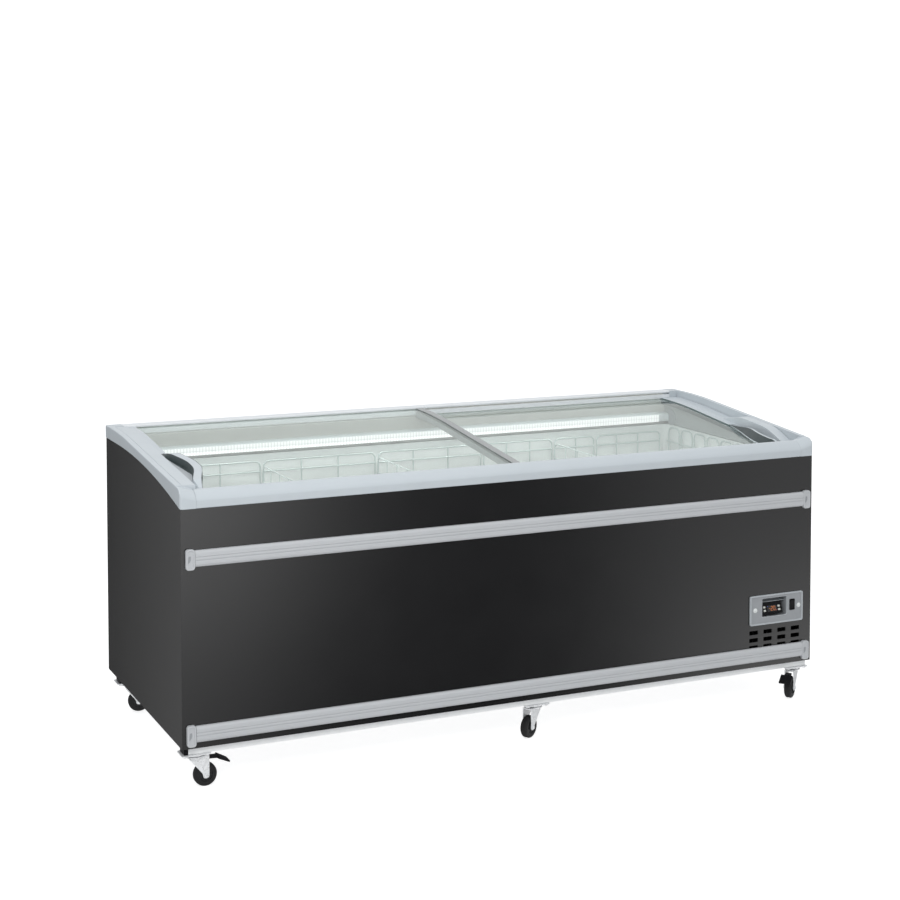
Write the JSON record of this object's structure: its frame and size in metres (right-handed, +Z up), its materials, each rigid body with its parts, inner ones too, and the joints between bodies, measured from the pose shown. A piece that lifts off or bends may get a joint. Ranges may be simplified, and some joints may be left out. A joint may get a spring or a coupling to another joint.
{
  "type": "chest freezer",
  "caption": "Long display chest freezer with curved sliding glass lids, an insulated tub, a recessed control panel and swivel casters.",
  "frame": {"origin": "on the floor, under the middle of the bounding box", "axes": "+X along the length to the right, the end with the controls; +Y to the rear; +Z up"},
  "size_m": [2.104, 0.8964, 0.905],
  "materials": {
    "charcoal_paint": "satin",
    "white_steel": "satin",
    "liner_aluminium": "satin",
    "foam": "matte",
    "copper": "satin",
    "black_paint": "satin",
    "aluminium": "satin",
    "frame_plastic": "satin",
    "bumper_plastic": "satin",
    "bezel_plastic": "satin",
    "black_plastic": "satin",
    "wire": "gloss",
    "lamp": "gloss",
    "zinc": "satin",
    "glass": "gloss",
    "button": "matte",
    "tyre": "matte"
  },
  "bodies": {
    "cabinet": {"left_side_panel": "charcoal_paint", "right_side_panel": "charcoal_paint", "front_panel": "charcoal_paint", "rear_panel": "charcoal_paint", "base_pan": "white_steel", "front_base_rail": "white_steel", "rear_base_rail": "white_steel", "inner_liner": "liner_aluminium", "insulation": "foam", "evaporator_coil": "copper", "compressor": "black_paint", "condenser": "aluminium", "front_frame_rail": "frame_plastic", "rear_frame_rail": "frame_plastic", "left_end_frame": "frame_plastic", "right_end_frame": "frame_plastic", "upper_bumper": "bumper_plastic", "upper_bumper_left_cap": "bumper_plastic", "upper_bumper_right_cap": "bumper_plastic", "lower_bumper": "bumper_plastic", "lower_bumper_left_cap": "bumper_plastic", "lower_bumper_right_cap": "bumper_plastic", "control_bezel": "bezel_plastic", "thermostat": "black_plastic", "front_grid": "wire", "rear_grid": "wire", "left_grid": "wire", "right_grid": "wire", "led_lamp": "lamp", "front_left_caster_plate": "zinc", "front_middle_caster_plate": "zinc", "front_right_caster_plate": "zinc", "rear_left_caster_plate": "zinc", "rear_middle_caster_plate": "zinc", "rear_right_caster_plate": "zinc"},
    "left_lid": {"left_lid_glass": "glass", "left_lid_handle": "frame_plastic", "left_lid_inner_trim": "frame_plastic"},
    "right_lid": {"right_lid_glass": "glass", "right_lid_handle": "frame_plastic", "right_lid_inner_trim": "frame_plastic"},
    "button_up": {"button_up": "button"},
    "button_down": {"button_down": "button"},
    "button_set": {"button_set": "button"},
    "button_standby": {"button_standby": "button"},
    "switch_rocker": {"switch_rocker": "black_plastic"},
    "front_left_swivel": {"front_left_caster_fork": "zinc"},
    "front_left_wheel": {"front_left_caster_wheel": "tyre"},
    "front_left_pedal": {"front_left_brake_pedal": "black_plastic"},
    "front_middle_swivel": {"front_middle_caster_fork": "zinc"},
    "front_middle_wheel": {"front_middle_caster_wheel": "tyre"},
    "front_right_swivel": {"front_right_caster_fork": "zinc"},
    "front_right_wheel": {"front_right_caster_wheel": "tyre"},
    "front_right_pedal": {"front_right_brake_pedal": "black_plastic"},
    "rear_left_swivel": {"rear_left_caster_fork": "zinc"},
    "rear_left_wheel": {"rear_left_caster_wheel": "tyre"},
    "rear_middle_swivel": {"rear_middle_caster_fork": "zinc"},
    "rear_middle_wheel": {"rear_middle_caster_wheel": "tyre"},
    "rear_right_swivel": {"rear_right_caster_fork": "zinc"},
    "rear_right_wheel": {"rear_right_caster_wheel": "tyre"}
  },
  "joints": [
    {"name": "left_lid_slide", "type": "slide", "parent": "cabinet", "child": "left_lid", "axis": [1, 0, 0], "range_m": [0, 0.87]},
    {"name": "right_lid_slide", "type": "slide", "parent": "cabinet", "child": "right_lid", "axis": [1, 0, 0], "range_m": [-0.87, 0]},
    {"name": "button_up_press", "type": "slide", "parent": "cabinet", "child": "button_up", "axis": [0, 0.942, -0.3355], "range_m": [0, 0.001], "stiffness_N_per_m": 800},
    {"name": "button_down_press", "type": "slide", "parent": "cabinet", "child": "button_down", "axis": [0, 0.942, -0.3355], "range_m": [0, 0.001], "stiffness_N_per_m": 800},
    {"name": "button_set_press", "type": "slide", "parent": "cabinet", "child": "button_set", "axis": [0, 0.942, -0.3355], "range_m": [0, 0.001], "stiffness_N_per_m": 800},
    {"name": "button_standby_press", "type": "slide", "parent": "cabinet", "child": "button_standby", "axis": [0, 0.942, -0.3355], "range_m": [0, 0.001], "stiffness_N_per_m": 800},
    {"name": "switch_rocker_tilt", "type": "hinge", "parent": "cabinet", "child": "switch_rocker", "pos_m": [0.9755, -0.40731, 0.31125], "axis": [1, 0, 0], "range_deg": [-14, 0]},
    {"name": "front_left_swivel_turn", "type": "hinge", "parent": "cabinet", "child": "front_left_swivel", "pos_m": [-1.006, -0.37032, 0], "axis": [0, 0, 1], "continuous": true},
    {"name": "front_left_wheel_roll", "type": "hinge", "parent": "front_left_swivel", "child": "front_left_wheel", "pos_m": [-0.976, -0.37032, 0.0335], "axis": [0, 1, 0], "continuous": true},
    {"name": "front_left_pedal_press", "type": "hinge", "parent": "front_left_swivel", "child": "front_left_pedal", "pos_m": [-0.963, -0.37032, 0.08], "axis": [0, 1, 0], "range_deg": [0, 12]},
    {"name": "front_middle_swivel_turn", "type": "hinge", "parent": "cabinet", "child": "front_middle_swivel", "pos_m": [0.058, -0.37032, 0], "axis": [0, 0, 1], "continuous": true},
    {"name": "front_middle_wheel_roll", "type": "hinge", "parent": "front_middle_swivel", "child": "front_middle_wheel", "pos_m": [0.03229, -0.38577, 0.0335], "axis": [0.515, -0.8572, 0], "continuous": true},
    {"name": "front_right_swivel_turn", "type": "hinge", "parent": "cabinet", "child": "front_right_swivel", "pos_m": [1.006, -0.37032, 0], "axis": [0, 0, 1], "continuous": true},
    {"name": "front_right_wheel_roll", "type": "hinge", "parent": "front_right_swivel", "child": "front_right_wheel", "pos_m": [0.98302, -0.3896, 0.0335], "axis": [0.6428, -0.766, 0], "continuous": true},
    {"name": "front_right_pedal_press", "type": "hinge", "parent": "front_right_swivel", "child": "front_right_pedal", "pos_m": [0.97306, -0.39796, 0.08], "axis": [0.6428, -0.766, 0], "range_deg": [0, 12]},
    {"name": "rear_left_swivel_turn", "type": "hinge", "parent": "cabinet", "child": "rear_left_swivel", "pos_m": [-1.006, 0.36068, 0], "axis": [0, 0, 1], "continuous": true},
    {"name": "rear_left_wheel_roll", "type": "hinge", "parent": "rear_left_swivel", "child": "rear_left_wheel", "pos_m": [-0.97629, 0.35651, 0.0335], "axis": [0.1392, 0.9903, 0], "continuous": true},
    {"name": "rear_middle_swivel_turn", "type": "hinge", "parent": "cabinet", "child": "rear_middle_swivel", "pos_m": [0.058, 0.36068, 0], "axis": [0, 0, 1], "continuous": true},
    {"name": "rear_middle_wheel_roll", "type": "hinge", "parent": "rear_middle_swivel", "child": "rear_middle_wheel", "pos_m": [0.08519, 0.37336, 0.0335], "axis": [-0.4226, 0.9063, 0], "continuous": true},
    {"name": "rear_right_swivel_turn", "type": "hinge", "parent": "cabinet", "child": "rear_right_swivel", "pos_m": [1.006, 0.36068, 0], "axis": [0, 0, 1], "continuous": true},
    {"name": "rear_right_wheel_roll", "type": "hinge", "parent": "rear_right_swivel", "child": "rear_right_wheel", "pos_m": [0.97781, 0.37095, 0.0335], "axis": [-0.342, -0.9397, 0], "continuous": true}
  ]
}
